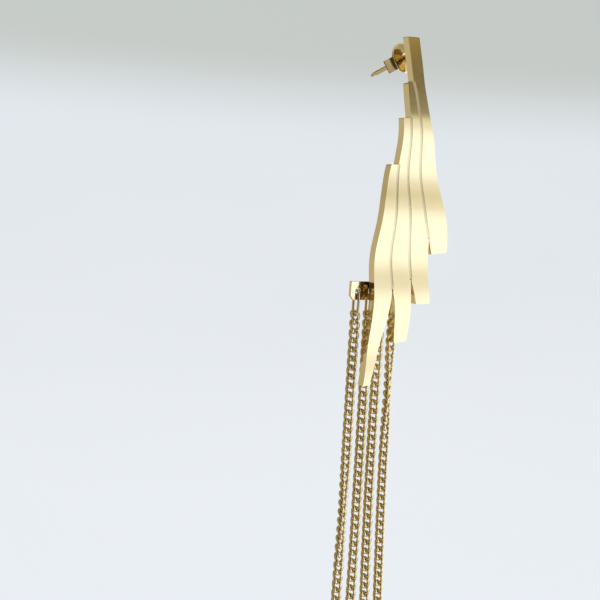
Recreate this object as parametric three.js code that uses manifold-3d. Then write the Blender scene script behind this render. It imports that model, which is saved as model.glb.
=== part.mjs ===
// Dangle earring: a wavy plate of four strips on an ear post, with four curb chains from a bar behind it.
// Millimetres, +Z up, the plate's front towards -Y. The origin is the root of the post on the plate's back.
import * as THREE from 'three';
import { mergeVertices } from 'three/addons/utils/BufferGeometryUtils.js';
import Module from 'manifold-3d';

// Plate sizes. Down is measured from the top edge, across from the post towards the outer strip.
const plateLength = 62.5;
const plateWidth = 19.5;
const plateThickness = 1.5;
const postDrop = 3.1;
const cornerRadius = 0.3;
const cornerShare = 0.4;
const cornerSteps = 4;
const grooveWidth = 0.6;
const grooveDepth = 0.14;
const grooveRise = 0.15;
const forkWidth = 0.24;

// Wave of the plate: straight at the top, then rising and falling about a slight lean.
const topTilt = THREE.MathUtils.degToRad(12.5);
const plateLean = THREE.MathUtils.degToRad(3.75);
const waveLength = 15.3;
const straightLength = 13.3;
const stepsPerWave = 12;

// Edges of the strips and the seams between them, each row [down, across] as shares of the plate's
// length and width.
const outerEdge = [[0, 0.043], [0.082, 0.061], [0.146, 0.073], [0.246, 0.118], [0.336, 0.192],
  [0.406, 0.25], [0.486, 0.314], [0.575, 0.38], [0.617, 0.397]];
const stepOne = [[0.003, -0.097], [0.068, -0.08], [0.133, -0.066]];
const seamOne = [[0.133, -0.066], [0.167, -0.038], [0.242, -0.01], [0.339, 0.017], [0.419, 0.045],
  [0.517, 0.084], [0.576, 0.15]];
const forkOneOuter = [[0.576, 0.15], [0.6, 0.176], [0.625, 0.207]];
const forkOneInner = [[0.576, 0.15], [0.627, 0.163], [0.708, 0.162], [0.767, 0.169]];
const stepTwo = [[0.139, -0.133], [0.186, -0.134], [0.237, -0.13]];
const seamTwo = [[0.237, -0.13], [0.343, -0.119], [0.45, -0.112], [0.542, -0.098], [0.61, -0.07],
  [0.668, -0.055], [0.696, -0.052]];
const forkTwoOuter = [[0.696, -0.052], [0.73, -0.026], [0.769, 0.003]];
const forkTwoInner = [[0.696, -0.052], [0.749, -0.062], [0.827, -0.058], [0.876, -0.068]];
const stepThree = [[0.24, -0.215], [0.29, -0.215], [0.33, -0.221], [0.373, -0.231]];
const seamThree = [[0.373, -0.231], [0.426, -0.246], [0.498, -0.27], [0.578, -0.283], [0.642, -0.288],
  [0.728, -0.281]];
const forkThreeOuter = [[0.728, -0.281], [0.77, -0.254], [0.826, -0.231], [0.883, -0.217]];
const forkThreeInner = [[0.728, -0.281], [0.779, -0.312], [0.836, -0.346], [0.88, -0.384],
  [0.932, -0.436], [0.998, -0.526]];
const innerEdge = [[1, -0.598], [0.93, -0.545], [0.858, -0.511], [0.789, -0.502], [0.706, -0.492],
  [0.626, -0.472], [0.546, -0.438], [0.486, -0.404], [0.434, -0.362], [0.374, -0.318]];
const edgeSteps = 2;

// Ear post.
const postLength = 11.8;
const postRadius = 0.4;
const postTilt = THREE.MathUtils.degToRad(17);
const tipLength = 1;
const tipRadius = 0.1;
const notchFromTip = 1.5;
const notchWidth = 0.5;
const notchDepth = 0.08;
const solderDepth = 0.7;
const roundSides = 16;

// Ear nut: a dished disc and two curled ears of the same sheet.
const nutSeat = 2;
const nutClearance = 0.07;
const nutTurn = THREE.MathUtils.degToRad(-27);
const discRadius = 2.85;
const discDish = 0.35;
const sheet = 0.28;
const collarRadius = 0.85;
const earWidth = 2.5;
const earReach = 2.35;
const earHeight = 3.2;
const earCurl = 0.6;
const earSteps = 6;

// Hanger bar behind the plate, on two legs.
const barBehind = 0.9;
const barThickness = 0.6;
const barHeight = 3.3;
const barEnd = 1.55;
const barChamfer = 0.75;
const barDown = 46.0;
const holePitch = 2.9;
const firstHole = -11.49;
const holeRadius = 0.55;
const legThickness = 0.7;

// Jump rings.
const ringHeight = 3.9;
const ringDepth = 1.9;
const ringWire = 0.5;
const ringSegments = 16;
const ringSides = 6;

// Chains, each row with the bow and the drift of the free end sideways, in millimetres. A strand's
// links face one way, in degrees, and turn away and back over a stretch given in shares of its length.
// A strand marked plain is a tube as wide as its links.
const chainLength = 57;
const linkWire = 0.48;
const linkWidth = 1.3;
const linkLength = 1.998;
const linkTwist = 0.31;
const linkSegments = 10;
const linkSides = 5;
const linkFuse = 0.02;
const looseGap = 0.07;
const settleLinks = 3;
const strands = [
  { bow: 0.15, drift: 0.45, from: 0.35, to: 0.98, facing: -36, turn: 58 },
  { bow: 0.1, drift: 0.95, from: 0.6, to: 0.95, facing: -36, turn: 12 },
  { bow: -0.35, drift: 1.35, plain: true },
  { bow: -0.4, drift: 1.7, plain: true },
];
const tubeSides = 8;
const tubeSteps = 16;

// Colours of the gold plating.
const satinGold = { color: 0xe3c27e, roughness: 0.38, metalness: 1 };
const brightGold = { color: 0xd9b25f, roughness: 0.2, metalness: 1 };

// Points nearer than this are one point of a solid.
const weldGap = 1e-5;

const wasm = await Module();
wasm.setup();

// A closed geometry as a solid for joining and cutting.
function solid(geometry) {
  const bare = new THREE.BufferGeometry();
  bare.setAttribute('position', geometry.getAttribute('position').clone());
  if (geometry.index) bare.setIndex(geometry.index.clone());
  const merged = mergeVertices(bare, weldGap);
  return new wasm.Manifold(new wasm.Mesh({
    numProp: 3,
    vertProperties: new Float32Array(merged.getAttribute('position').array),
    triVerts: new Uint32Array(merged.index.array),
  }));
}

function geometryOf(body) {
  const cut = body.getMesh();
  const geometry = new THREE.BufferGeometry();
  geometry.setAttribute('position', new THREE.BufferAttribute(cut.vertProperties, 3));
  geometry.setIndex(new THREE.BufferAttribute(cut.triVerts, 1));
  return geometry;
}

function mesh(name, body, look) {
  const made = new THREE.Mesh(geometryOf(body), new THREE.MeshStandardMaterial(look));
  made.name = name;
  return made;
}

// A flat shape drawn in x and z, extruded from one depth to another along y.
function frontExtrude(shape, fromY, toY) {
  const geometry = new THREE.ExtrudeGeometry(shape, {
    depth: toY - fromY,
    bevelEnabled: false,
    curveSegments: cornerSteps,
  });
  geometry.rotateX(Math.PI / 2);
  geometry.translate(0, toY, 0);
  return geometry;
}

// Depth of the plate's front face at height z.
function frontY(z) {
  const start = -plateThickness / Math.cos(topTilt);
  const bend = postDrop - straightLength;
  if (z >= bend) return start + Math.tan(topTilt) * z;
  const below = bend - z;
  const swing = (Math.tan(topTilt) - Math.tan(plateLean)) * waveLength / (2 * Math.PI);
  const wave = swing * Math.sin(2 * Math.PI * below / waveLength);
  return start + Math.tan(topTilt) * bend - Math.tan(plateLean) * below - wave;
}

// A wavy slab between two depths behind the front face, wider and longer than the plate.
function wavySlab(near, far) {
  const top = postDrop + plateThickness;
  const bottom = postDrop - plateLength - plateThickness;
  const bend = postDrop - straightLength;
  const count = Math.ceil((bend - bottom) / waveLength * stepsPerWave);
  const heights = [top];
  for (let i = 0; i <= count; i += 1) {
    heights.push(bend + (bottom - bend) * i / count);
  }
  const front = heights.map((z) => new THREE.Vector2(frontY(z) + near, z));
  const back = heights.map((z) => new THREE.Vector2(frontY(z) + far, z)).reverse();
  const shape = new THREE.Shape([...front, ...back]);
  const geometry = new THREE.ExtrudeGeometry(shape, { depth: 2 * plateWidth, bevelEnabled: false });
  geometry.rotateX(Math.PI / 2);
  geometry.rotateZ(Math.PI / 2);
  geometry.translate(-plateWidth, 0, 0);
  return geometry;
}

// A smooth line through rows of shares, in millimetres across and up.
function line(rows) {
  const points = rows.map(([down, across]) => (
    new THREE.Vector2(across * plateWidth, postDrop - down * plateLength)
  ));
  return new THREE.SplineCurve(points).getPoints((rows.length - 1) * edgeSteps);
}

// The plate's outline, walked round from the top of the post's strip. The runs meet in rounded
// corners, but for the two sides of a fork, which meet in a narrow square end.
function plateOutline() {
  const forkEnds = new Set();
  const forkSide = (rows, side) => {
    const points = line(rows);
    points[0].x += side * forkWidth / 2;
    forkEnds.add(points[0]);
    return points;
  };
  const runs = [
    line(outerEdge),
    forkSide(forkOneOuter, 1).reverse(),
    forkSide(forkOneInner, -1),
    forkSide(forkTwoOuter, 1).reverse(),
    forkSide(forkTwoInner, -1),
    forkSide(forkThreeOuter, 1).reverse(),
    forkSide(forkThreeInner, -1),
    line(innerEdge),
    line(stepThree).reverse(),
    line(stepTwo).reverse(),
    line(stepOne).reverse(),
  ];
  const vertices = runs.flatMap((run) => run.map((point, place) => ({
    point,
    rounded: (place === 0 || place === run.length - 1) && !forkEnds.has(point),
  })));
  const onTheWay = (from, to) => {
    const share = Math.min(cornerRadius / from.distanceTo(to), cornerShare);
    return from.clone().lerp(to, share);
  };
  const shape = new THREE.Shape();
  vertices.forEach(({ point, rounded }, index) => {
    const before = vertices.at(index - 1).point;
    const after = vertices[(index + 1) % vertices.length].point;
    const arrive = rounded ? onTheWay(point, before) : point;
    if (index === 0) shape.moveTo(arrive.x, arrive.y);
    else shape.lineTo(arrive.x, arrive.y);
    if (!rounded) return;
    const leave = onTheWay(point, after);
    shape.quadraticCurveTo(point.x, point.y, leave.x, leave.y);
  });
  return shape;
}

// The outline of one groove: its seam widened to both sides, rising a little past the shorter strip
// and narrowing to the fork.
function grooveOutline(rows) {
  const points = line(rows);
  const last = points.length - 1;
  points[0].y += grooveRise;
  points[last].y -= forkWidth;
  const halfAt = (index) => (index === last ? forkWidth : grooveWidth) / 2;
  const left = points.map((point, index) => new THREE.Vector2(point.x - halfAt(index), point.y));
  const right = points.map((point, index) => new THREE.Vector2(point.x + halfAt(index), point.y));
  return new THREE.Shape([...left, ...right.reverse()]);
}

// Turns what is made along +Z from the origin onto the post's axis.
function ontoPost(geometry) {
  geometry.rotateX(-Math.PI / 2 - postTilt);
  return geometry;
}

function postGeometry() {
  const notch = postLength - notchFromTip;
  const profile = [
    [0, -solderDepth],
    [postRadius, -solderDepth],
    [postRadius, notch],
    [postRadius - notchDepth, notch + notchWidth / 4],
    [postRadius - notchDepth, notch + notchWidth * 3 / 4],
    [postRadius, notch + notchWidth],
    [postRadius, postLength - tipLength],
    [tipRadius, postLength],
    [0, postLength],
  ];
  const points = profile.map(([radius, along]) => new THREE.Vector2(radius, along));
  const geometry = new THREE.LatheGeometry(points, roundSides);
  geometry.rotateX(Math.PI / 2);
  return ontoPost(geometry);
}

const holeXs = strands.map((strand, index) => firstHole + holePitch * index);
const barZ = postDrop - barDown;
const barFront = frontY(barZ) + plateThickness + barBehind;

function holedBar() {
  const left = firstHole - barEnd;
  const right = Math.max(...holeXs) + barEnd;
  const top = barZ + barHeight / 2;
  const bottom = barZ - barHeight / 2;
  const shape = new THREE.Shape([
    new THREE.Vector2(left, top),
    new THREE.Vector2(right, top),
    new THREE.Vector2(right, bottom + barChamfer),
    new THREE.Vector2(right - barChamfer, bottom),
    new THREE.Vector2(left + barChamfer, bottom),
    new THREE.Vector2(left, bottom + barChamfer),
  ]);
  let bar = solid(frontExtrude(shape, barFront, barFront + barThickness));
  holeXs.forEach((x) => {
    const hole = new THREE.CylinderGeometry(holeRadius, holeRadius, 4 * barThickness, roundSides);
    hole.translate(x, barFront, barZ);
    bar = bar.subtract(solid(hole));
  });
  return bar;
}

// A leg beside a hole, halfway to the next one, from inside the plate to inside the bar.
function legGeometry(hole) {
  const nearY = frontY(barZ) + plateThickness / 2;
  const farY = barFront + barThickness / 2;
  const leg = new THREE.BoxGeometry(legThickness, farY - nearY, barHeight);
  leg.translate(hole + holePitch / 2, (nearY + farY) / 2, barZ);
  return leg;
}

function wingPlate() {
  const depth = 2 * plateWidth;
  const outline = solid(frontExtrude(plateOutline(), -depth, depth));
  let body = solid(wavySlab(0, plateThickness)).intersect(outline);
  const grooveLayer = solid(wavySlab(-plateThickness, grooveDepth));
  [seamOne, seamTwo, seamThree].forEach((seam) => {
    const groove = solid(frontExtrude(grooveOutline(seam), -depth, depth));
    body = body.subtract(grooveLayer.intersect(groove));
  });
  body = body.add(solid(postGeometry()));
  body = body.add(holedBar());
  holeXs.slice(1, -1).forEach((hole) => {
    body = body.add(solid(legGeometry(hole)));
  });
  return body;
}

// One ear of the nut: a band that runs out along the disc, curls back and ends beside the post.
function earGeometry(side) {
  const half = sheet / 2;
  const inner = postRadius + nutClearance + half;
  const low = sheet;
  const high = earHeight;
  const turnRadius = (high - low) / 2;
  const centre = new THREE.Vector2(earReach - turnRadius, (low + high) / 2);
  const route = [new THREE.Vector2(inner, low)];
  for (let i = 0; i <= earSteps; i += 1) {
    const angle = -Math.PI / 2 + Math.PI * i / earSteps;
    route.push(new THREE.Vector2(
      centre.x + turnRadius * Math.cos(angle),
      centre.y + turnRadius * Math.sin(angle),
    ));
  }
  route.push(new THREE.Vector2(inner + earCurl / 2, high));
  route.push(new THREE.Vector2(inner, high - earCurl / 2));
  route.push(new THREE.Vector2(inner, high - earCurl));
  const band = (offset) => route.map((point, index) => {
    const before = route[Math.max(index - 1, 0)];
    const after = route[Math.min(index + 1, route.length - 1)];
    const along = after.clone().sub(before).normalize();
    return new THREE.Vector2(side * (point.x + along.y * offset), point.y - along.x * offset);
  });
  const shape = new THREE.Shape([...band(half), ...band(-half).reverse()]);
  const geometry = new THREE.ExtrudeGeometry(shape, { depth: earWidth, bevelEnabled: false });
  geometry.translate(0, 0, -earWidth / 2);
  geometry.rotateX(Math.PI / 2);
  return geometry;
}

function earNut() {
  const bore = postRadius + nutClearance;
  const profile = [
    [bore, 0],
    [collarRadius, -discDish],
    [discRadius - sheet, 0],
    [discRadius, sheet],
    [discRadius - sheet, sheet],
    [collarRadius, sheet],
    [bore, sheet],
    [bore, 0],
  ];
  const points = profile.map(([radius, along]) => new THREE.Vector2(radius, along));
  const disc = new THREE.LatheGeometry(points, 2 * roundSides);
  disc.rotateX(Math.PI / 2);
  let body = solid(disc);
  body = body.add(solid(earGeometry(1)));
  body = body.add(solid(earGeometry(-1)));
  const placed = geometryOf(body);
  placed.rotateZ(nutTurn);
  placed.translate(0, 0, nutSeat);
  return solid(ontoPost(placed));
}

// A closed loop of round wire along a path given by its share of the way round.
function loopGeometry(path, wire, sides, segments) {
  const geometry = new THREE.TorusGeometry(1, wire / 2, sides, segments);
  const position = geometry.getAttribute('position');
  const nudge = 1e-4;
  for (let index = 0; index < position.count; index += 1) {
    const share = (index % (segments + 1)) % segments / segments;
    const angle = 2 * Math.PI * Math.floor(index / (segments + 1)) / sides;
    const centre = path(share);
    const along = path(share + nudge).sub(path(share - nudge)).normalize();
    const outward = new THREE.Vector3(along.y, -along.x, 0).normalize();
    const across = new THREE.Vector3().crossVectors(outward, along);
    centre.addScaledVector(outward, Math.cos(angle) * wire / 2);
    centre.addScaledVector(across, Math.sin(angle) * wire / 2);
    position.setXYZ(index, centre.x, centre.y, centre.z);
  }
  return geometry;
}

const ringTop = barZ - holeRadius + looseGap + ringWire;
const ringBottom = ringTop - (ringHeight - ringWire);

function jumpRing(x) {
  const halfDepth = (ringDepth - ringWire) / 2;
  const halfHeight = (ringHeight - ringWire) / 2;
  const steepest = Math.sin(2 * Math.PI / ringSegments);
  const path = (share) => {
    const rise = Math.sin(2 * Math.PI * share);
    const straight = THREE.MathUtils.clamp(rise / steepest, -1, 1) * (halfHeight - halfDepth);
    return new THREE.Vector3(halfDepth * Math.cos(2 * Math.PI * share), halfDepth * rise + straight, 0);
  };
  const ring = loopGeometry(path, ringWire, ringSides, ringSegments);
  ring.rotateX(Math.PI / 2);
  ring.rotateZ(Math.PI / 2);
  ring.translate(x, barFront + barThickness / 2, (ringTop + ringBottom) / 2);
  return solid(ring);
}

// One link, its long axis upright and its ends twisted out of its plane, so that links lie in each other.
function linkGeometry() {
  const path = (share) => {
    const angle = 2 * Math.PI * share + Math.PI / 2;
    return new THREE.Vector3(
      linkWidth / 2 * Math.cos(angle),
      linkLength / 2 * Math.sin(angle),
      linkTwist * Math.sin(2 * angle),
    );
  };
  const link = loopGeometry(path, linkWire, linkSides, linkSegments);
  link.rotateX(Math.PI / 2);
  return link;
}

// How far a strand hangs to the side at a share of its length.
function sway(strand, share) {
  return strand.bow * Math.sin(Math.PI * share) + strand.drift * share;
}

function chain(strand, x) {
  const pitch = linkLength - linkWire * Math.cos(Math.PI / linkSides) + linkFuse;
  const count = Math.round((chainLength - linkLength - linkWire) / pitch) + 1;
  const y = barFront + barThickness / 2;
  const topLinkZ = ringBottom + (ringWire + linkWire) / 2 + looseGap - linkLength / 2;
  let body = null;
  for (let index = 0; index < count; index += 1) {
    const share = index / (count - 1);
    const within = THREE.MathUtils.clamp((share - strand.from) / (strand.to - strand.from), 0, 1);
    const settled = Math.min(index / settleLinks, 1);
    const angle = settled * (strand.facing + strand.turn * Math.sin(Math.PI * within) ** 2);
    const link = linkGeometry();
    link.rotateZ(THREE.MathUtils.degToRad(angle));
    link.translate(x + sway(strand, share), y, topLinkZ - pitch * index);
    body = body ? body.add(solid(link)) : solid(link);
  }
  return body;
}

// A strand as a plain tube that starts just below its ring.
function tube(strand, x) {
  const top = ringBottom - ringWire / 2 - looseGap;
  const bottom = ringBottom + ringWire - chainLength;
  const y = barFront + barThickness / 2;
  const points = Array.from({ length: tubeSteps + 1 }, (_, index) => {
    const share = index / tubeSteps;
    return new THREE.Vector3(x + sway(strand, share), y, top + (bottom - top) * share);
  });
  const radius = (linkWidth + linkWire) / 2;
  const corners = Array.from({ length: tubeSides }, (_, index) => {
    const angle = 2 * Math.PI * index / tubeSides;
    return new THREE.Vector2(radius * Math.cos(angle), radius * Math.sin(angle));
  });
  return solid(new THREE.ExtrudeGeometry(new THREE.Shape(corners), {
    extrudePath: new THREE.CatmullRomCurve3(points),
    steps: tubeSteps,
    bevelEnabled: false,
  }));
}

const earring = new THREE.Group();
earring.add(mesh('wing_plate', wingPlate(), satinGold));
earring.add(mesh('ear_nut', earNut(), brightGold));
strands.forEach((strand, index) => {
  earring.add(mesh(`jump_ring_${index + 1}`, jumpRing(holeXs[index]), brightGold));
  const body = strand.plain ? tube(strand, holeXs[index]) : chain(strand, holeXs[index]);
  earring.add(mesh(`chain_${index + 1}`, body, brightGold));
});

export default earring;
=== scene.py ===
import math

import bmesh
import bpy
from mathutils import Matrix, Vector


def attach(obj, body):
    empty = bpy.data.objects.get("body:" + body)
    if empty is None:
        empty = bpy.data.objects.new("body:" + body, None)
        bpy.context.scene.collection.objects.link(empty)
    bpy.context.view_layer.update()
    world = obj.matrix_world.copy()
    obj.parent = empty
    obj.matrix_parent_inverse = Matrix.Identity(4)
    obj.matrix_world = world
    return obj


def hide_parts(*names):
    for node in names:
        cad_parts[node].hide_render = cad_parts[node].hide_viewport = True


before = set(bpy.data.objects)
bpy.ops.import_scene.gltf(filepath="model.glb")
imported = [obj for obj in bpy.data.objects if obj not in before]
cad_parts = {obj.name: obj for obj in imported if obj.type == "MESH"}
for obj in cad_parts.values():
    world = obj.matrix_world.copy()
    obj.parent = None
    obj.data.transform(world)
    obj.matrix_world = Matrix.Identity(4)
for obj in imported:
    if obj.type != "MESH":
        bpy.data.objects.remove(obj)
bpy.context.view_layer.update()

mm = 0.001
print("frame loaded:", len(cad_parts), "nodes")


def linearColour(hexColour):
    # sRGB hex to the linear values that the shaders take
    channels = [int(hexColour[i:i + 2], 16) / 255 for i in (1, 3, 5)]
    linear = [c / 12.92 if c <= 0.04045 else ((c + 0.055) / 1.055) ** 2.4 for c in channels]
    return (*linear, 1.0)


def addNode(tree, kind, settings=None, links=None):
    # one node with its properties, its unlinked input values and its incoming links
    node = tree.nodes.new(kind)
    for name, value in (settings or {}).items():
        if isinstance(name, int) or name in node.inputs:
            node.inputs[name].default_value = value
        else:
            setattr(node, name, value)
    for name, source in (links or {}).items():
        tree.links.new(source, node.inputs[name])
    return node


def newMaterial(name):
    material = bpy.data.materials.new(name)
    material.use_nodes = True
    material.node_tree.nodes.clear()
    return material, material.node_tree


def meshObject(name, vertices, faces, material):
    mesh = bpy.data.meshes.new(name)
    mesh.from_pydata([tuple(v) for v in vertices], [], faces)
    mesh.validate()
    mesh.update()
    piece = bpy.data.objects.new(name, mesh)
    bpy.context.scene.collection.objects.link(piece)
    mesh.materials.append(material)
    return piece


def applyModifiers(piece):
    depsgraph = bpy.context.evaluated_depsgraph_get()
    baked = bpy.data.meshes.new_from_object(piece.evaluated_get(depsgraph))
    piece.modifiers.clear()
    piece.data = baked


def smoothByAngle(piece, degrees):
    # smooth shading with the edges sharper than the angle kept crisp
    mesh = piece.data
    mesh.polygons.foreach_set("use_smooth", [True] * len(mesh.polygons))
    work = bmesh.new()
    work.from_mesh(mesh)
    for edge in work.edges:
        edge.smooth = len(edge.link_faces) == 2 and edge.calc_face_angle(0) < math.radians(degrees)
    work.to_mesh(mesh)
    work.free()


def prism(name, outline, nearY, farY, material, farOutline=None):
    # a closed outline in x and z, in millimetres, as a solid between two depths, where the far one may have
    # an outline of its own
    count = len(outline)
    area = sum(a[0] * b[1] - b[0] * a[1] for a, b in zip(outline, outline[1:] + outline[:1]))
    order = 1 if area > 0 else -1
    vertices = [(x * mm, nearY * mm, z * mm) for x, z in outline[::order]]
    vertices += [(x * mm, farY * mm, z * mm) for x, z in (farOutline or outline)[::order]]
    faces = [list(range(count)), list(range(2 * count - 1, count - 1, -1))]
    faces += [[i, i + count, (i + 1) % count + count, (i + 1) % count] for i in range(count)]
    return meshObject(name, vertices, faces, material)


# what counts as flat, groove side, wall and facing forwards by the y of a face's normal, and how alike two
# normals are that share a smooth corner
normalLimits = {"flat": 0.999, "grooveSide": 0.94, "wall": 0.02, "forwards": -0.3, "alike": 0.6}


def crispNormals(work, slope=None):
    # one normal for each corner of each face: flat faces keep theirs up to their eased edges, and so do
    # groove sides; with a slope, the normals follow faces that are then moved along y by a depth rising
    # by slope(z)
    def isFlat(face):
        return abs(face.normal.y) > normalLimits["flat"]

    def isWall(face):
        return abs(face.normal.y) < normalLimits["wall"]

    shared = {}
    for vertex in work.verts:
        faces = [face for face in vertex.link_faces if isFlat(face)]
        faces = faces or [face for face in vertex.link_faces if isWall(face)] or list(vertex.link_faces)
        total = sum((face.normal for face in faces), Vector())
        shared[vertex] = total.normalized() if total.length > 0.1 else faces[0].normal
    normals = []
    for face in work.faces:
        for vertex in face.verts:
            isGrooveSide = normalLimits["grooveSide"] < abs(face.normal.y) and not isFlat(face)
            isSharp = shared[vertex].dot(face.normal) < normalLimits["alike"]
            normal = face.normal if isGrooveSide or isSharp else shared[vertex]
            if slope:
                rise = slope(vertex.co.z / mm)
                normal = Vector((normal.x, normal.y, normal.z - rise * normal.y)).normalized()
            normals.append(normal)
    return [tuple(normal) for normal in normals]


def setNormals(mesh, normals):
    mesh.polygons.foreach_set("use_smooth", [True] * len(mesh.polygons))
    mesh.normals_split_custom_set(normals)


def cutWith(piece, cutters, operation="DIFFERENCE"):
    for cutter in cutters:
        modifier = piece.modifiers.new("cut", "BOOLEAN")
        modifier.operation = operation
        modifier.solver = "EXACT"
        modifier.object = cutter
    applyModifiers(piece)
    for cutter in cutters:
        bpy.data.objects.remove(cutter)


def bevelEdges(piece, width, segments, degrees):
    modifier = piece.modifiers.new("bevel", "BEVEL")
    modifier.width = width * mm
    modifier.segments = segments
    modifier.limit_method = "ANGLE"
    modifier.angle_limit = math.radians(degrees)
    modifier.use_clamp_overlap = True
    applyModifiers(piece)


def splineThrough(points, steps):
    # Catmull-Rom through the points, evenly stepped between them
    made = []
    last = len(points) - 1
    for index in range(last):
        p0 = points[max(index - 1, 0)]
        p1, p2 = points[index], points[index + 1]
        p3 = points[min(index + 2, last)]
        for step in range(steps):
            t = step / steps
            made.append(tuple(
                0.5 * (2 * b + (c - a) * t + (2 * a - 5 * b + 4 * c - d) * t ** 2
                       + (3 * b - a - 3 * c + d) * t ** 3)
                for a, b, c, d in zip(p0, p1, p2, p3)))
    return made + [tuple(points[-1])]


def roundLoop(centres, outwards, wire, sides):
    # a closed round wire along points, each with its own outward direction, as vertices and faces
    vertices, faces = [], []
    count = len(centres)
    for index, (centre, outward) in enumerate(zip(centres, outwards)):
        along = (centres[(index + 1) % count] - centres[index - 1]).normalized()
        side = along.cross(outward).normalized()
        up = side.cross(along).normalized()
        for step in range(sides):
            angle = 2 * math.pi * step / sides
            vertices.append(centre + (up * math.cos(angle) + side * math.sin(angle)) * wire / 2)
    for index in range(count):
        here, there = index * sides, (index + 1) % count * sides
        for step in range(sides):
            following = (step + 1) % sides
            faces.append((here + step, here + following, there + following, there + step))
    return vertices, faces


# camera at the photograph's angle: it looks from the left and slightly down, rolled as the photo is
camera = {
    "azimuth": -36.0, "elevation": 5.0, "roll": -4.0, "distance": 218.0, "lens": 72.0, "sensor": 36.0,
    "postRootPixel": (411.7, 54.3), "imageSize": 600,
}


def buildCamera():
    azimuth, elevation, roll = (math.radians(camera[key]) for key in ("azimuth", "elevation", "roll"))
    back = Vector((math.sin(azimuth) * math.cos(elevation), -math.cos(azimuth) * math.cos(elevation),
                   math.sin(elevation)))
    level = Vector((math.cos(azimuth), math.sin(azimuth), 0))
    upright = back.cross(level)
    right = level * math.cos(roll) - upright * math.sin(roll)
    up = upright * math.cos(roll) + level * math.sin(roll)
    focal = camera["lens"] / camera["sensor"] * camera["imageSize"]
    px, py = camera["postRootPixel"]
    half = camera["imageSize"] / 2
    ray = right * ((px - half) / focal) - up * ((py - half) / focal) - back
    data = bpy.data.cameras.new("camera")
    data.lens = camera["lens"]
    data.sensor_width = camera["sensor"]
    data.clip_start = 0.01
    data.clip_end = 20
    viewer = bpy.data.objects.new("camera", data)
    place = -ray * camera["distance"] * mm
    viewer.matrix_world = Matrix.Translation(place) @ Matrix((right, up, back)).transposed().to_4x4()
    bpy.context.scene.collection.objects.link(viewer)
    bpy.context.scene.camera = viewer


buildCamera()
print("camera placed")

# room: a pale bowl-shaped floor, and what the gold mirrors: bright in front with a dark band higher up,
# dimmer behind, dim at the camera's side and brown opposite to it
room = {
    # the rim tone is painted shade, greying the glowing bowl's wall between two heights
    "floor": "#e4e9f0", "floorGrain": "#dee4eb", "rim": "#c3c9c6", "rimShadeFrom": 60.0, "rimShadeTo": 230.0,
    "floorGlow": 0.93, "floorBase": "#5a5c60", "floorRoughness": 0.9, "floorGrainScale": 12.0,
    "floorDepth": 170.0, "flatRadius": 900.0, "bowlRadius": 1500.0, "bowlStep": 6, "bowlSides": 64,
    "frontAzimuth": 41.0, "sideEdge": (-0.35, 0.45),
    # height of a direction, the room's colour there and its brightness
    "front": [(-1.0, "#e9efff", 1.1), (-0.35, "#ecf1ff", 1.7), (0.0, "#eff4ff", 1.6),
              (0.15, "#f0f4ff", 1.36), (0.25, "#f4f9ff", 1.05), (0.32, "#fdfff9", 0.95),
              (0.35, "#fefff4", 0.84), (0.372, "#fff6d4", 0.4), (0.388, "#fff2af", 0.1),
              (0.412, "#ffe1a6", 0.02), (0.432, "#ffe08c", 0.14), (0.455, "#ffe08c", 0.66),
              (0.6, "#ffeec7", 0.4), (1.0, "#fffcf0", 0.8)],
    "behind": [(-1.0, "#fff4e0", 0.5), (0.0, "#fff8e0", 0.56), (0.3, "#fff6d8", 0.48),
               (0.45, "#ffe8aa", 0.31), (1.0, "#fff0d0", 0.5)],
    # the dim side where the camera stands, and the brown one opposite to it
    "dimAzimuth": -36.0, "dimEdge": (0.6, 0.95), "dim": "#a8824a", "dimBrightness": 0.13,
    "farAzimuth": 165.0, "farEdge": (0.78, 0.97), "far": "#c07a3c", "farBrightness": 0.4,
    "lampSize": 900.0, "lampHeight": 800.0, "lampWatts": 7.0,
}


def towards(tree, direction, azimuth, edge):
    # how far a direction of the room faces an azimuth, from none to one between two cosines
    angle = math.radians(azimuth)
    cosine = addNode(tree, "ShaderNodeVectorMath", {
        "operation": "DOT_PRODUCT", 1: (math.sin(angle), -math.cos(angle), 0)}, {0: direction})
    settings = {"interpolation_type": "SMOOTHSTEP", "From Min": edge[0], "From Max": edge[1]}
    return addNode(tree, "ShaderNodeMapRange", settings, {0: cosine.outputs["Value"]})


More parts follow.
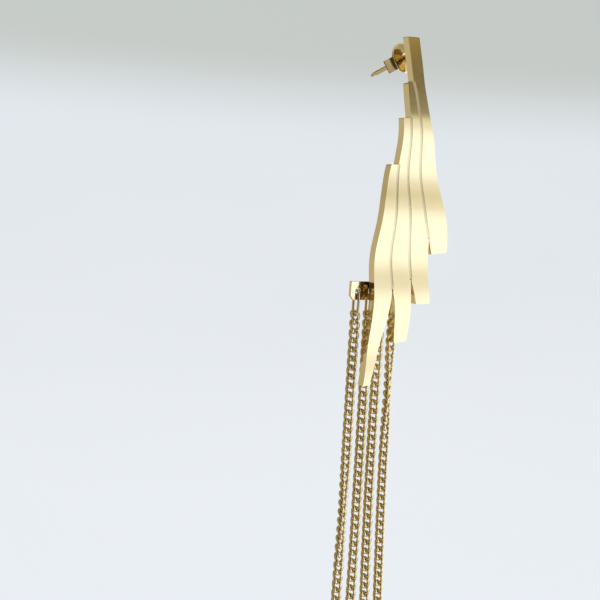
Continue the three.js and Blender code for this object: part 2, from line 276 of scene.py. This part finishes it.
def buildWorld():
    world = bpy.data.worlds.new("pale studio")
    bpy.context.scene.world = world
    world.use_nodes = True
    tree = world.node_tree
    tree.nodes.clear()
    direction = addNode(tree, "ShaderNodeTexCoord").outputs["Generated"]
    axes = addNode(tree, "ShaderNodeSeparateXYZ", links={0: direction})
    share = addNode(tree, "ShaderNodeMapRange", {"From Min": -1.0, "From Max": 1.0}, {0: axes.outputs["Z"]})
    glows = {}
    for side in ("front", "behind"):
        # a ramp holds values up to one, so it carries half of each brightness
        ramp = addNode(tree, "ShaderNodeValToRGB", links={0: share.outputs[0]})
        stops = ramp.color_ramp.elements
        for row in room[side][2:]:
            stops.new((row[0] + 1) / 2)
        for stop, (height, tint, brightness) in zip(stops, room[side]):
            stop.position = (height + 1) / 2
            stop.color = [c * brightness / 2 for c in linearColour(tint)[:3]] + [1]
        glows[side] = addNode(tree, "ShaderNodeBackground", {1: 2.0}, {0: ramp.outputs["Color"]})
    dim = addNode(tree, "ShaderNodeBackground", {0: linearColour(room["dim"]), 1: room["dimBrightness"]})
    far = addNode(tree, "ShaderNodeBackground", {0: linearColour(room["far"]), 1: room["farBrightness"]})
    inFront = towards(tree, direction, room["frontAzimuth"], room["sideEdge"])
    atCamera = towards(tree, direction, room["dimAzimuth"], room["dimEdge"])
    sides = addNode(tree, "ShaderNodeMixShader", links={
        0: inFront.outputs[0], 1: glows["behind"].outputs[0], 2: glows["front"].outputs[0]})
    dimmed = addNode(tree, "ShaderNodeMixShader", links={
        0: atCamera.outputs[0], 1: sides.outputs[0], 2: dim.outputs[0]})
    opposite = towards(tree, direction, room["farAzimuth"], room["farEdge"])
    whole = addNode(tree, "ShaderNodeMixShader", links={
        0: opposite.outputs[0], 1: dimmed.outputs[0], 2: far.outputs[0]})
    addNode(tree, "ShaderNodeOutputWorld", links={0: whole.outputs[0]})


def buildFloor():
    material, tree = newMaterial("mattePaperFloor")
    grain = addNode(tree, "ShaderNodeTexNoise", {"Scale": room["floorGrainScale"], "Detail": 2.0})
    tone = addNode(tree, "ShaderNodeMix", {
        "data_type": "RGBA", 6: linearColour(room["floor"]), 7: linearColour(room["floorGrain"])},
        {0: grain.outputs[0]})
    # painted shade: greyer towards the bowl's rim
    place = addNode(tree, "ShaderNodeTexCoord")
    axes = addNode(tree, "ShaderNodeSeparateXYZ", links={0: place.outputs["Object"]})
    rise = addNode(tree, "ShaderNodeMapRange", {
        "interpolation_type": "SMOOTHSTEP", "From Min": room["rimShadeFrom"] * mm,
        "From Max": room["rimShadeTo"] * mm}, {0: axes.outputs["Z"]})
    shaded = addNode(tree, "ShaderNodeMix", {"data_type": "RGBA", 7: linearColour(room["rim"])},
                     {0: rise.outputs[0], 6: tone.outputs[2]})
    surface = addNode(tree, "ShaderNodeBsdfPrincipled", {
        "Roughness": room["floorRoughness"], "Base Color": linearColour(room["floorBase"]),
        "Emission Strength": room["floorGlow"]}, {"Emission Color": shaded.outputs[2]})
    addNode(tree, "ShaderNodeOutputMaterial", links={0: surface.outputs[0]})
    # flat in the middle, then a quarter round up to a wall, turned once round the object
    flat, radius = room["flatRadius"], room["bowlRadius"]
    profile = [(0, 0), (flat, 0)]
    for degrees in range(room["bowlStep"], 91, room["bowlStep"]):
        angle = math.radians(degrees)
        profile.append((flat + radius * math.sin(angle), radius - radius * math.cos(angle)))
    profile.append((flat + radius, 2 * radius))
    sides = room["bowlSides"]
    vertices = [(r * mm * math.cos(2 * math.pi * s / sides), r * mm * math.sin(2 * math.pi * s / sides),
                 (z - room["floorDepth"]) * mm) for s in range(sides) for r, z in profile]
    count = len(profile)
    faces = []
    for step in range(sides):
        here, there = step * count, (step + 1) % sides * count
        faces += [(here + i, there + i, there + i + 1, here + i + 1) for i in range(count - 1)]
    floor = meshObject("floor", vertices, faces, material)
    smoothByAngle(floor, 60)
    # only the camera sees it, so that the gold mirrors the room alone
    for ray in ("visible_glossy", "visible_diffuse", "visible_shadow", "visible_transmission"):
        setattr(floor, ray, False)


def buildLamp():
    lamp = bpy.data.lights.new("overhead softbox", "AREA")
    lamp.size = room["lampSize"] * mm
    lamp.energy = room["lampWatts"]
    holder = bpy.data.objects.new("overhead softbox", lamp)
    holder.location = (0, 0, room["lampHeight"] * mm)
    holder.visible_glossy = False
    bpy.context.scene.collection.objects.link(holder)


buildWorld()
buildFloor()
buildLamp()
print("room and light made")

# finishes
finishes = {
    "satin": {"base": "#f5e5ba", "deep": "#eedaa9", "roughness": 0.15, "roughnessRange": (0.85, 1.15),
              "grainMm": 0.25, "grainAlongZ": 0.06, "cloudMm": 6.0, "bumpStrength": 0.05, "bumpMm": 0.02},
    "etched": {"base": "#e8ddb8", "deep": "#c9b88a", "roughness": 0.3, "gritMm": 0.22,
               "bumpStrength": 0.35, "bumpMm": 0.03},
    "bright": {"base": "#f2e4b8", "deep": "#ccb682", "roughness": 0.06, "roughnessRange": (0.8, 1.4),
               "cloudMm": 1.5},
}


def roughnessSettings(values):
    low, high = values["roughnessRange"]
    return {"To Min": values["roughness"] * low, "To Max": values["roughness"] * high}


def satinGoldPlate():
    # stainless steel brushed to a satin and gold plated: soft wide mirror bands, a faint grain along z
    values = finishes["satin"]
    material, tree = newMaterial("satinGoldPlatedSteel")
    place = addNode(tree, "ShaderNodeTexCoord")
    # 3-D noise drawn out along z, its cells as wide as the grain
    stretched = addNode(tree, "ShaderNodeMapping", {"Scale": (1, 1, values["grainAlongZ"])},
                        {0: place.outputs["Object"]})
    grain = addNode(tree, "ShaderNodeTexNoise", {"Scale": 1 / (values["grainMm"] * mm), "Detail": 3.0},
                    {"Vector": stretched.outputs[0]})
    cloud = addNode(tree, "ShaderNodeTexNoise", {"Scale": 1 / (values["cloudMm"] * mm), "Detail": 2.0},
                    {"Vector": place.outputs["Object"]})
    colour = addNode(tree, "ShaderNodeMix", {
        "data_type": "RGBA", 6: linearColour(values["base"]), 7: linearColour(values["deep"])},
        {0: cloud.outputs[0]})
    rough = addNode(tree, "ShaderNodeMapRange", roughnessSettings(values), {0: grain.outputs[0]})
    bump = addNode(tree, "ShaderNodeBump", {
        "Strength": values["bumpStrength"], "Distance": values["bumpMm"] * mm}, {"Height": grain.outputs[0]})
    surface = addNode(tree, "ShaderNodeBsdfPrincipled", {"Metallic": 1.0}, {
        "Base Color": colour.outputs[2], "Roughness": rough.outputs[0], "Normal": bump.outputs[0]})
    addNode(tree, "ShaderNodeOutputMaterial", links={0: surface.outputs[0]})
    return material


def etchedGoldGroove():
    # an engraved line, cut rough and plated over: mottled and duller than the satin
    values = finishes["etched"]
    material, tree = newMaterial("etchedGoldPlatedSteel")
    place = addNode(tree, "ShaderNodeTexCoord")
    grit = addNode(tree, "ShaderNodeTexNoise", {"Scale": 1 / (values["gritMm"] * mm), "Detail": 3.0},
                   {"Vector": place.outputs["Object"]})
    colour = addNode(tree, "ShaderNodeMix", {
        "data_type": "RGBA", 6: linearColour(values["base"]), 7: linearColour(values["deep"])},
        {0: grit.outputs[0]})
    bump = addNode(tree, "ShaderNodeBump", {
        "Strength": values["bumpStrength"], "Distance": values["bumpMm"] * mm}, {"Height": grit.outputs[0]})
    surface = addNode(tree, "ShaderNodeBsdfPrincipled", {
        "Metallic": 1.0, "Roughness": values["roughness"]}, {
        "Base Color": colour.outputs[2], "Normal": bump.outputs[0]})
    addNode(tree, "ShaderNodeOutputMaterial", links={0: surface.outputs[0]})
    return material


def brightGoldWire():
    # drawn steel wire and stamped sheet, barrel polished and gold plated: small hard glints, browner mirrors
    values = finishes["bright"]
    material, tree = newMaterial("polishedGoldPlatedSteel")
    place = addNode(tree, "ShaderNodeTexCoord")
    cloud = addNode(tree, "ShaderNodeTexNoise", {"Scale": 1 / (values["cloudMm"] * mm), "Detail": 3.0},
                    {"Vector": place.outputs["Object"]})
    colour = addNode(tree, "ShaderNodeMix", {
        "data_type": "RGBA", 6: linearColour(values["base"]), 7: linearColour(values["deep"])},
        {0: cloud.outputs[0]})
    rough = addNode(tree, "ShaderNodeMapRange", roughnessSettings(values), {0: cloud.outputs[0]})
    surface = addNode(tree, "ShaderNodeBsdfPrincipled", {"Metallic": 1.0}, {
        "Base Color": colour.outputs[2], "Roughness": rough.outputs[0]})
    addNode(tree, "ShaderNodeOutputMaterial", links={0: surface.outputs[0]})
    return material


satinGold = satinGoldPlate()
etchedGold = etchedGoldGroove()
brightGold = brightGoldWire()
print("finishes made")

# wing plate: the frame's wave and edges, more finely stepped, with eased edges and shallower grooves
plate = {
    "length": 62.5, "width": 19.5, "thickness": 1.5, "postDrop": 3.1, "corner": 0.3,
    "grooveWidth": 0.66, "grooveDepth": 0.06, "grooveRise": 0.15, "grooveSlope": 0.2, "fork": 0.24,
    "topTilt": 12.5, "lean": 3.75, "wave": 15.3, "straight": 13.3,
    "edgeSteps": 6, "bands": 0.4, "easedEdge": 0.05,
}
# rows of down and across, as shares of the plate's length and width
edges = {
    "outer": [(0, 0.043), (0.082, 0.061), (0.146, 0.073), (0.246, 0.118), (0.336, 0.192), (0.406, 0.25),
              (0.486, 0.314), (0.575, 0.38), (0.617, 0.397)],
    "stepOne": [(0.003, -0.097), (0.068, -0.08), (0.133, -0.066)],
    "seamOne": [(0.133, -0.066), (0.167, -0.038), (0.242, -0.01), (0.339, 0.017), (0.419, 0.045),
                (0.517, 0.084), (0.576, 0.15)],
    "forkOneOuter": [(0.576, 0.15), (0.6, 0.176), (0.625, 0.207)],
    "forkOneInner": [(0.576, 0.15), (0.627, 0.163), (0.708, 0.162), (0.767, 0.169)],
    "stepTwo": [(0.139, -0.133), (0.186, -0.134), (0.237, -0.13)],
    "seamTwo": [(0.237, -0.13), (0.343, -0.119), (0.45, -0.112), (0.542, -0.098), (0.61, -0.07),
                (0.668, -0.055), (0.696, -0.052)],
    "forkTwoOuter": [(0.696, -0.052), (0.73, -0.026), (0.769, 0.003)],
    "forkTwoInner": [(0.696, -0.052), (0.749, -0.062), (0.827, -0.058), (0.876, -0.068)],
    "stepThree": [(0.24, -0.215), (0.29, -0.215), (0.33, -0.221), (0.373, -0.231)],
    "seamThree": [(0.373, -0.231), (0.426, -0.246), (0.498, -0.27), (0.578, -0.283), (0.642, -0.288),
                  (0.728, -0.281)],
    "forkThreeOuter": [(0.728, -0.281), (0.77, -0.254), (0.826, -0.231), (0.883, -0.217)],
    "forkThreeInner": [(0.728, -0.281), (0.779, -0.312), (0.836, -0.346), (0.88, -0.384), (0.932, -0.436),
                       (0.998, -0.526)],
    "inner": [(1, -0.598), (0.93, -0.545), (0.858, -0.511), (0.789, -0.502), (0.706, -0.492),
              (0.626, -0.472), (0.546, -0.438), (0.486, -0.404), (0.434, -0.362), (0.374, -0.318)],
}


def frontY(z):
    # depth of the plate's front face at a height, in millimetres
    tilt, lean = math.tan(math.radians(plate["topTilt"])), math.tan(math.radians(plate["lean"]))
    start = -plate["thickness"] / math.cos(math.radians(plate["topTilt"]))
    bend = plate["postDrop"] - plate["straight"]
    if z >= bend:
        return start + tilt * z
    below = bend - z
    swing = (tilt - lean) * plate["wave"] / (2 * math.pi)
    return start + tilt * bend - lean * below - swing * math.sin(2 * math.pi * below / plate["wave"])


def frontSlope(z):
    step = 0.001
    return (frontY(z + step) - frontY(z - step)) / (2 * step)


def edgeLine(name, shift=0.0):
    rows = [(across * plate["width"], plate["postDrop"] - down * plate["length"])
            for down, across in edges[name]]
    points = splineThrough(rows, plate["edgeSteps"])
    points[0] = (points[0][0] + shift, points[0][1])
    return points


def roundedOutline(runs):
    # joins the runs into one outline and rounds the corner wherever two runs meet
    outline = []
    for index, run in enumerate(runs):
        before, after = runs[index - 1], runs[(index + 1) % len(runs)]
        outline += roundedEnd(run[0], before[-1], run[1])
        outline += [point for point in run[1:-1]
                    if min(math.dist(point, run[0]), math.dist(point, run[-1])) > plate["corner"]]
        outline += roundedEnd(run[-1], run[-2], after[0])
    return outline


def roundedEnd(corner, before, after):
    # the two corners at the top of a fork lie as far apart as it is wide, and stay sharp
    gapBefore, gapAfter = math.dist(corner, before), math.dist(corner, after)
    if min(gapBefore, gapAfter) <= plate["fork"] * 1.05:
        return [corner]
    farther = [tuple(c + (p - c) * min(plate["corner"] / gap, 0.4) for c, p in zip(corner, point))
               for point, gap in ((before, gapBefore), (after, gapAfter))]
    return [tuple((1 - t) ** 2 * a + 2 * t * (1 - t) * c + t ** 2 * b
                  for a, c, b in zip(farther[0], corner, farther[1])) for t in (0, 0.25, 0.5, 0.75, 1)]


def grooveCutter(name):
    points = edgeLine(name)
    points[0] = (points[0][0], points[0][1] + plate["grooveRise"])
    points[-1] = (points[-1][0], points[-1][1] - plate["fork"])
    # as wide as the groove at the plate's face and narrower below, so that both of its sides lean outwards
    outlines = []
    for spread in (plate["grooveSlope"], -plate["grooveSlope"]):
        halves = [plate["grooveWidth"] / 2 + spread] * (len(points) - 1) + [plate["fork"] / 2]
        outline = [(x - half, z) for (x, z), half in zip(points, halves)]
        outline += [(x + half, z) for (x, z), half in reversed(list(zip(points, halves)))]
        outlines.append(outline)
    near, far = outlines
    return prism(name, near, -plate["grooveDepth"], plate["grooveDepth"], etchedGold, far)


def buildWing():
    half = plate["fork"] / 2
    runs = [
        edgeLine("outer"),
        edgeLine("forkOneOuter", half)[::-1], edgeLine("forkOneInner", -half),
        edgeLine("forkTwoOuter", half)[::-1], edgeLine("forkTwoInner", -half),
        edgeLine("forkThreeOuter", half)[::-1], edgeLine("forkThreeInner", -half),
        edgeLine("inner"),
        edgeLine("stepThree")[::-1], edgeLine("stepTwo")[::-1], edgeLine("stepOne")[::-1],
    ]
    wing = prism("wing", roundedOutline(runs), 0, plate["thickness"], satinGold)
    cutWith(wing, [grooveCutter(name) for name in ("seamOne", "seamTwo", "seamThree")])
    bevelEdges(wing, plate["easedEdge"], 2, 50)
    mesh = wing.data
    mesh.materials.clear()
    mesh.materials.append(satinGold)
    mesh.materials.append(etchedGold)
    work = bmesh.new()
    work.from_mesh(mesh)
    top, bottom = plate["postDrop"], plate["postDrop"] - plate["length"]
    count = int((top - bottom) / plate["bands"])
    for index in range(1, count):
        height = top + (bottom - top) * index / count
        bmesh.ops.bisect_plane(work, geom=work.verts[:] + work.edges[:] + work.faces[:], dist=1e-7,
                               plane_co=(0, 0, height * mm), plane_no=(0, 0, 1))
    # the etched finish on what faces forwards between the plate's face and the groove's floor
    floorY, skin = plate["grooveDepth"] * mm, 0.006 * mm
    for face in work.faces:
        inGroove = skin < face.calc_center_median().y < floorY + skin
        face.material_index = 1 if inGroove and face.normal.y < normalLimits["forwards"] else 0
    work.normal_update()
    normals = crispNormals(work, frontSlope)
    for vertex in work.verts:
        vertex.co.y += frontY(vertex.co.z / mm) * mm
    work.to_mesh(mesh)
    work.free()
    setNormals(mesh, normals)
    return wing


wing = buildWing()
print("wing plate made:", len(wing.data.polygons), "faces")

# ear post: round wire with a shallow notch near its tapered tip
post = {
    "length": 11.8, "radius": 0.4, "tilt": 17.0, "tipLength": 1.0, "tipRadius": 0.1,
    "tipCurve": 1.5, "notchFromTip": 1.5, "notchWidth": 0.5, "notchDepth": 0.08, "embed": 0.7,
    "sides": 40, "steps": 8,
}


def ontoPost(point):
    # from the post's own frame, its axis along z, to the object's
    tilt = math.radians(post["tilt"])
    axis = Vector((0, math.cos(tilt), -math.sin(tilt)))
    side = Vector((1, 0, 0))
    return (side * point[0] + side.cross(axis) * -point[1] + axis * point[2]) * mm


def turned(name, profile, sides, material, closed=False):
    # a profile of radius and height turned round the post's axis
    vertices, faces = [], []
    for step in range(sides):
        angle = 2 * math.pi * step / sides
        vertices += [ontoPost((radius * math.cos(angle), radius * math.sin(angle), along))
                     for radius, along in profile]
    count = len(profile)
    for step in range(sides):
        here, there = step * count, (step + 1) % sides * count
        for index in range(count if closed else count - 1):
            following = (index + 1) % count
            faces.append((here + index, there + index, there + following, here + following))
    piece = meshObject(name, vertices, faces, material)
    work = bmesh.new()
    work.from_mesh(piece.data)
    bmesh.ops.remove_doubles(work, verts=work.verts[:], dist=1e-7)
    bmesh.ops.recalc_face_normals(work, faces=work.faces[:])
    work.to_mesh(piece.data)
    work.free()
    smoothByAngle(piece, 40)
    return piece


def buildPost():
    radius, length, tip = post["radius"], post["length"], post["tipRadius"]
    notch = length - post["notchFromTip"]
    shares = [step / post["steps"] for step in range(post["steps"] + 1)]
    dip = [(radius - post["notchDepth"] * math.sin(math.pi * t), notch + post["notchWidth"] * t)
           for t in shares]
    # a tip that narrows faster and faster towards its end
    nose = [(tip + (radius - tip) * (1 - t ** post["tipCurve"]), length - post["tipLength"] * (1 - t))
            for t in shares]
    profile = [(0, -post["embed"]), (radius, -post["embed"])] + dip + nose + [(0, length)]
    return turned("ear_post", profile, post["sides"], brightGold)


earPost = buildPost()

# ear nut: dished disc with a funnel at its bore, and two ears rolled from the same sheet
nut = {
    "seat": 2.0, "clearance": 0.07, "disc": 2.85, "dish": 0.35, "sheet": 0.28, "collar": 0.85,
    "earWidth": 2.5, "earReach": 2.75, "earHeight": 3.2, "earCurl": 0.6, "turn": -27.0,
    "easedEdge": 0.05, "sides": 72, "dishSteps": 6, "foldSteps": 14,
}


def buildDisc():
    bore = post["radius"] + nut["clearance"]
    seat, sheet, dish, disc, collar = (nut[key] for key in ("seat", "sheet", "dish", "disc", "collar"))
    front = splineThrough([
        (bore, seat), (collar, seat - dish), (collar * 1.8, seat - dish * 0.55), (disc - sheet, seat),
        (disc, seat + sheet * 0.6)], nut["dishSteps"])
    back = [(disc - sheet * 0.4, seat + sheet), (disc - sheet, seat + sheet), (bore, seat + sheet)]
    return turned("nut_disc", front + back, nut["sides"], brightGold, closed=True)


def earRoute():
    # the middle of the sheet, from the bore out, round a half turn and back to a small curl at the post
    inner = post["radius"] + nut["clearance"] + nut["sheet"] / 2
    low, high, curl = nut["sheet"], nut["earHeight"], nut["earCurl"]
    fold = (high - low) / 2
    foldX, foldZ = nut["earReach"] - fold, (low + high) / 2
    route = [(inner, low)]
    for step in range(nut["foldSteps"] + 1):
        angle = -math.pi / 2 + math.pi * step / nut["foldSteps"]
        route.append((foldX + fold * math.cos(angle), foldZ + fold * math.sin(angle)))
    return route + [(inner + curl * 0.8, high), (inner + curl * 0.35, high - curl * 0.12),
                    (inner + curl * 0.08, high - curl * 0.45), (inner, high - curl)]


def buildEar(name, side):
    # the route thickened to the sheet on both sides, and as wide as the ear
    route = earRoute()
    band = []
    for offset in (nut["sheet"] / 2, -nut["sheet"] / 2):
        row = []
        for index, point in enumerate(route):
            before, after = route[max(index - 1, 0)], route[min(index + 1, len(route) - 1)]
            gap = math.dist(before, after)
            along = ((after[0] - before[0]) / gap, (after[1] - before[1]) / gap)
            row.append((side * (point[0] + along[1] * offset), point[1] - along[0] * offset))
        band += row if offset > 0 else row[::-1]
    count = len(band)
    aboutPost = Matrix.Rotation(math.radians(nut["turn"]), 3, "Z")
    vertices = [ontoPost(aboutPost @ Vector((x, y, z + nut["seat"])))
                for y in (-nut["earWidth"] / 2, nut["earWidth"] / 2) for x, z in band]
    faces = [[i, (i + 1) % count, (i + 1) % count + count, i + count] for i in range(count)]
    for start in (0, count):
        faces += [[start + i, start + i + 1, start + count - 2 - i, start + count - 1 - i]
                  for i in range(len(route) - 1)]
    ear = meshObject(name, vertices, faces, brightGold)
    work = bmesh.new()
    work.from_mesh(ear.data)
    bmesh.ops.recalc_face_normals(work, faces=work.faces[:])
    work.to_mesh(ear.data)
    work.free()
    bevelEdges(ear, nut["easedEdge"], 2, 50)
    smoothByAngle(ear, 35)
    return ear


nutPieces = [buildDisc(), buildEar("nut_ear_outer", 1), buildEar("nut_ear_inner", -1)]
print("post and nut made")

# hanger bar on two legs behind the plate
bar = {
    "behind": 0.9, "thickness": 0.6, "height": 3.3, "end": 1.55, "chamfer": 0.75, "down": 46.0,
    "pitch": 2.9, "firstHole": -11.49, "hole": 0.55, "holeSides": 32, "leg": 0.7, "easedEdge": 0.05,
}
holeXs = [bar["firstHole"] + bar["pitch"] * index for index in range(4)]
barZ = plate["postDrop"] - bar["down"]
barFront = frontY(barZ) + plate["thickness"] + bar["behind"]


def circleOutline(x, z, radius, sides):
    angles = [2 * math.pi * step / sides for step in range(sides)]
    return [(x + radius * math.cos(angle), z + radius * math.sin(angle)) for angle in angles]


def buildBar():
    left, right = holeXs[0] - bar["end"], holeXs[-1] + bar["end"]
    top, bottom, chamfer = barZ + bar["height"] / 2, barZ - bar["height"] / 2, bar["chamfer"]
    outline = [(left, top), (right, top), (right, bottom + chamfer), (right - chamfer, bottom),
               (left + chamfer, bottom), (left, bottom + chamfer)]
    barBack, through = barFront + bar["thickness"], bar["thickness"]
    rail = prism("hanger_bar", outline, barFront, barBack, satinGold)
    rims = [circleOutline(x, barZ, bar["hole"], bar["holeSides"]) for x in holeXs]
    cutWith(rail, [prism("hole", rim, barFront - through, barBack + through, satinGold) for rim in rims])
    legs = []
    for hole in holeXs[1:-1]:
        x = hole + bar["pitch"] / 2
        near = frontY(barZ) + plate["thickness"] / 2
        outline = [(x - bar["leg"] / 2, bottom), (x + bar["leg"] / 2, bottom),
                   (x + bar["leg"] / 2, top), (x - bar["leg"] / 2, top)]
        legs.append(prism("leg", outline, near, barFront + bar["thickness"] / 2, satinGold))
    cutWith(rail, legs, "UNION")
    bevelEdges(rail, bar["easedEdge"], 2, 40)
    work = bmesh.new()
    work.from_mesh(rail.data)
    setNormals(rail.data, crispNormals(work))
    work.free()
    return rail


hangerBar = buildBar()

# jump rings: oval, upright, through each hole
ring = {"height": 4.9, "depth": 1.9, "wire": 0.5, "gap": 0.07, "sideAngle": 22.5, "steps": 48, "sides": 14}
ringTop = barZ - bar["hole"] + ring["gap"] + ring["wire"]
ringBottom = ringTop - (ring["height"] - ring["wire"])


def buildRing(index, x):
    halfDepth, halfHeight = (ring["depth"] - ring["wire"]) / 2, (ring["height"] - ring["wire"]) / 2
    # a circle drawn out along z where it lies within the angle of its two sides, which makes those straight
    sideRise = math.sin(math.radians(ring["sideAngle"]))
    centres, outwards = [], []
    for step in range(ring["steps"]):
        angle = 2 * math.pi * step / ring["steps"]
        rise = math.sin(angle)
        straight = max(-1, min(1, rise / sideRise)) * (halfHeight - halfDepth)
        centres.append(Vector((x, barFront + bar["thickness"] / 2 + halfDepth * math.cos(angle),
                               (ringTop + ringBottom) / 2 + halfDepth * rise + straight)) * mm)
        outwards.append(Vector((0, math.cos(angle), rise)))
    vertices, faces = roundLoop(centres, outwards, ring["wire"] * mm, ring["sides"])
    piece = meshObject(f"oval_ring_{index}", vertices, faces, brightGold)
    smoothByAngle(piece, 60)
    return piece


rings = [buildRing(index + 1, x) for index, x in enumerate(holeXs)]
print("bar and rings made")

# chains: leaning curb links that lie in each other, each strand with its own slow turn and bow; the frame's
# link, wire and fuse set their pitch
chain = {
    "length": 57.0, "wire": 0.58, "linkWidth": 1.32,
    "cadLink": 1.998, "cadWire": 0.48, "cadSides": 5, "fuse": 0.02,
    "twist": 0.4, "shear": 0.4, "gap": 0.07, "settle": 3, "steps": 28, "sides": 10,
}
strands = [
    {"bow": 0.15, "drift": 0.45, "from": 0.35, "to": 0.98, "facing": -36, "turn": 58},
    {"bow": 0.1, "drift": 0.95, "from": 0.6, "to": 0.95, "facing": -36, "turn": 12},
    {"bow": -0.35, "drift": 1.35, "from": 0.25, "to": 0.6, "facing": -40, "turn": 10},
    {"bow": -0.4, "drift": 1.7, "from": 0.0, "to": 0.5, "facing": -36, "turn": 66},
]


def buildChain(index, strand, x):
    pitch = chain["cadLink"] - chain["cadWire"] * math.cos(math.pi / chain["cadSides"]) + chain["fuse"]
    count = round((chain["length"] - chain["cadLink"] - chain["cadWire"]) / pitch) + 1
    first = ringBottom + (ring["wire"] + chain["cadWire"]) / 2 + chain["gap"] - chain["cadLink"] / 2
    long = pitch + chain["wire"]
    vertices, faces = [], []
    for link in range(count):
        share = link / (count - 1)
        within = max(0, min(1, (share - strand["from"]) / (strand["to"] - strand["from"])))
        faced = strand["facing"] + strand["turn"] * math.sin(math.pi * within) ** 2
        angle = min(link / chain["settle"], 1) * faced
        turning = Matrix.Rotation(math.radians(angle), 3, "Z")
        sway = strand["bow"] * math.sin(math.pi * share) + strand["drift"] * share
        middle = Vector((x + sway, barFront + bar["thickness"] / 2, first - pitch * link))
        centres, outwards = [], []
        for step in range(chain["steps"]):
            turn = 2 * math.pi * step / chain["steps"]
            point = Vector((chain["linkWidth"] / 2 * math.cos(turn), -chain["twist"] * math.sin(2 * turn),
                            long / 2 * math.sin(turn)))
            point.z -= chain["shear"] * point.x
            centres.append((middle + turning @ point) * mm)
            outwards.append(turning @ Vector((math.cos(turn), 0, math.sin(turn))))
        linkVertices, linkFaces = roundLoop(centres, outwards, chain["wire"] * mm, chain["sides"])
        start = len(vertices)
        vertices += linkVertices
        faces += [tuple(corner + start for corner in face) for face in linkFaces]
    piece = meshObject(f"curb_chain_{index}", vertices, faces, brightGold)
    smoothByAngle(piece, 60)
    return piece


chains = [buildChain(index + 1, strand, x) for index, (strand, x) in enumerate(zip(strands, holeXs))]
print("chains made")

# what each piece rides on; the frame's nodes that these pieces redraw are hidden
for piece in [wing, earPost, hangerBar] + rings + chains:
    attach(piece, "earring")
for piece in nutPieces:
    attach(piece, "ear_nut")
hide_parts("wing_plate")
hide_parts("ear_nut")
for index in range(4):
    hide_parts(f"jump_ring_{index + 1}")
    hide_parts(f"chain_{index + 1}")

bpy.context.scene.view_settings.view_transform = "Standard"
